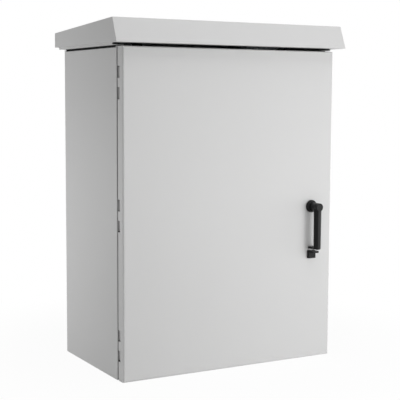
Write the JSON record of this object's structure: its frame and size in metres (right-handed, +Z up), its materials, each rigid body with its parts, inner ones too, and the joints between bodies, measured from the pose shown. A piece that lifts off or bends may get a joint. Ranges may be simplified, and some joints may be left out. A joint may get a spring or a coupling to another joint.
{
  "type": "traffic signal controller cabinet",
  "caption": "Light grey sheet steel outdoor cabinet with a rain hood, one plain hinged door, a black padlockable lever handle with a three point latch, and signal control gear inside.",
  "frame": {"origin": "centre of the body's base, on the plane it stands on", "axes": "+X to the right seen from the front, +Y to the rear wall, +Z up"},
  "size_m": [0.649, 0.4044, 0.864],
  "materials": {
    "light_grey_powder_coat": "satin powder coat on sheet steel",
    "black_cast_zinc": "satin black coat on a zinc casting",
    "zinc_plated_steel": "bright zinc plate",
    "galvanised_sheet": "galvanised sheet",
    "black_rubber": "matt black rubber",
    "unit_aluminium": "clear anodised sheet",
    "dark_front_plate": "dark grey satin plate",
    "display_window": "dark glossy window",
    "membrane_grey": "matt membrane",
    "black_plastic": "matt black moulding",
    "clear_grey_plastic": "smoked glossy cover",
    "light_plastic": "light grey moulding",
    "grey_plastic": "mid grey moulding",
    "white_nylon": "natural nylon",
    "brass_bar": "drawn brass",
    "red_insulator": "glossy red moulding"
  },
  "bodies": {
    "cabinet": {"enclosure_body": "light_grey_powder_coat", "frame_seal": "black_rubber", "hinge_frame_leaves": "light_grey_powder_coat", "hinge_pins": "zinc_plated_steel", "rain_hood": "light_grey_powder_coat", "hood_rails": "galvanised_sheet", "hood_spacers": "black_rubber", "hood_bolts": "zinc_plated_steel", "gland_plate": "galvanised_sheet", "gland_seal": "black_rubber", "gland_screws": "zinc_plated_steel", "cable_grommets": "black_rubber", "mounting_panel": "galvanised_sheet", "panel_nuts": "zinc_plated_steel", "equipment_shelf": "galvanised_sheet", "controller_case": "unit_aluminium", "controller_front": "dark_front_plate", "controller_display": "display_window", "controller_keypad": "membrane_grey", "controller_connectors": "black_plastic", "monitor_case": "unit_aluminium", "monitor_front": "dark_front_plate", "load_rack": "galvanised_sheet", "load_switch_1": "black_plastic", "load_switch_2": "black_plastic", "load_switch_3": "black_plastic", "load_switch_4": "black_plastic", "flasher_module": "black_plastic", "transfer_relay": "clear_grey_plastic", "upper_terminal_strip": "black_plastic", "lower_terminal_strip": "black_plastic", "din_rail": "zinc_plated_steel", "main_breaker": "light_plastic", "signal_breaker": "light_plastic", "service_breaker": "light_plastic", "surge_arrester": "grey_plastic", "ground_bar": "brass_bar", "neutral_bar": "brass_bar", "neutral_insulators": "red_insulator", "cabinet_lamp": "light_plastic"},
    "door": {"door_panel": "light_grey_powder_coat", "door_gasket": "black_rubber", "door_stiffeners": "light_grey_powder_coat", "hinge_door_leaves": "light_grey_powder_coat", "document_pocket": "grey_plastic", "handle_rosette": "black_cast_zinc", "padlock_bracket": "black_cast_zinc", "latch_case": "zinc_plated_steel", "latch_cover": "zinc_plated_steel", "rod_guides": "white_nylon"},
    "handle": {"handle_lever": "black_cast_zinc", "handle_spindle": "zinc_plated_steel", "latch_pinion": "zinc_plated_steel"},
    "upper_rod": {"upper_latch_rod": "zinc_plated_steel"},
    "lower_rod": {"lower_latch_rod": "zinc_plated_steel"},
    "upper_rod_roller": {"upper_roller": "white_nylon"},
    "lower_rod_roller": {"lower_roller": "white_nylon"},
    "main_switch": {"main_toggle": "black_plastic"},
    "signal_switch": {"signal_toggle": "black_plastic"},
    "service_switch": {"service_toggle": "black_plastic"}
  },
  "joints": [
    {"name": "door_swing", "type": "hinge", "parent": "cabinet", "child": "door", "pos_m": [-0.2925, -0.1765, 0.4], "axis": [0, 0, -1], "range_deg": [0, 110]},
    {"name": "handle_turn", "type": "hinge", "parent": "door", "child": "handle", "pos_m": [0.237, -0.199, 0.4], "axis": [0, 1, 0], "range_deg": [0, 90]},
    {"name": "upper_rod_slide", "type": "slide", "parent": "door", "child": "upper_rod", "axis": [0, 0, -1], "range_m": [0, 0.0189]},
    {"name": "lower_rod_slide", "type": "slide", "parent": "door", "child": "lower_rod", "axis": [0, 0, 1], "range_m": [0, 0.0189]},
    {"name": "upper_roller_spin", "type": "hinge", "parent": "upper_rod", "child": "upper_rod_roller", "pos_m": [0.247, -0.155, 0.7655], "axis": [1, 0, 0], "continuous": true},
    {"name": "lower_roller_spin", "type": "hinge", "parent": "lower_rod", "child": "lower_rod_roller", "pos_m": [0.227, -0.155, 0.0345], "axis": [1, 0, 0], "continuous": true},
    {"name": "main_toggle_tilt", "type": "hinge", "parent": "cabinet", "child": "main_switch", "pos_m": [-0.2084, 0.0785, 0.18], "axis": [1, 0, 0], "range_deg": [0, 50]},
    {"name": "signal_toggle_tilt", "type": "hinge", "parent": "cabinet", "child": "signal_switch", "pos_m": [-0.1816, 0.0785, 0.18], "axis": [1, 0, 0], "range_deg": [0, 50]},
    {"name": "service_toggle_tilt", "type": "hinge", "parent": "cabinet", "child": "service_switch", "pos_m": [-0.1636, 0.0785, 0.18], "axis": [1, 0, 0], "range_deg": [0, 50]}
  ],
  "couplings": [
    {"joint": "upper_rod_slide", "follows": "handle_turn", "m_per_rad": 0.012},
    {"joint": "lower_rod_slide", "follows": "handle_turn", "m_per_rad": 0.012}
  ]
}
